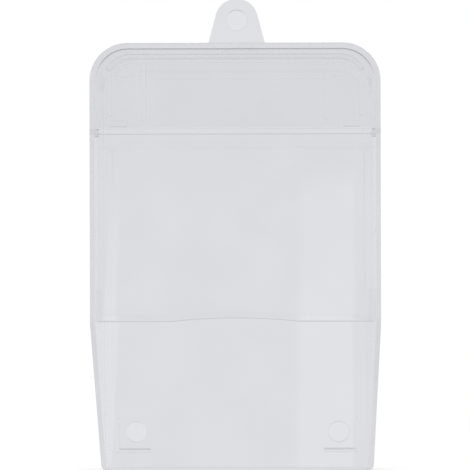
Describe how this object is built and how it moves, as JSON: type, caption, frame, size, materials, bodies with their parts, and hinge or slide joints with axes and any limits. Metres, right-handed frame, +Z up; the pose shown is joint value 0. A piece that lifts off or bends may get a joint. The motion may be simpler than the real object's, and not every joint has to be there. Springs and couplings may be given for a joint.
{
  "type": "doorbell rain cover",
  "caption": "Clear plastic rain cover for a doorbell push: wall plate with hanging tab, hooded shell and a front flap hinged under the hood.",
  "frame": {"origin": "centre of the hanging hole, on the wall side of the plate", "axes": "+Z up along the wall, +Y into the wall, -Y out of the front, +X to the right of a person who faces the cover"},
  "size_m": [0.06, 0.032, 0.1028],
  "materials": {
    "clear_plastic": "polished, colourless and transparent"
  },
  "bodies": {
    "housing": {"back_plate": "clear_plastic", "front_shell": "clear_plastic"},
    "flap": {"front_flap": "clear_plastic"}
  },
  "joints": [
    {"name": "flap_hinge", "type": "hinge", "parent": "housing", "child": "flap", "pos_m": [0, -0.0308, -0.026], "axis": [-1, 0, 0], "range_deg": [0, 95]}
  ]
}
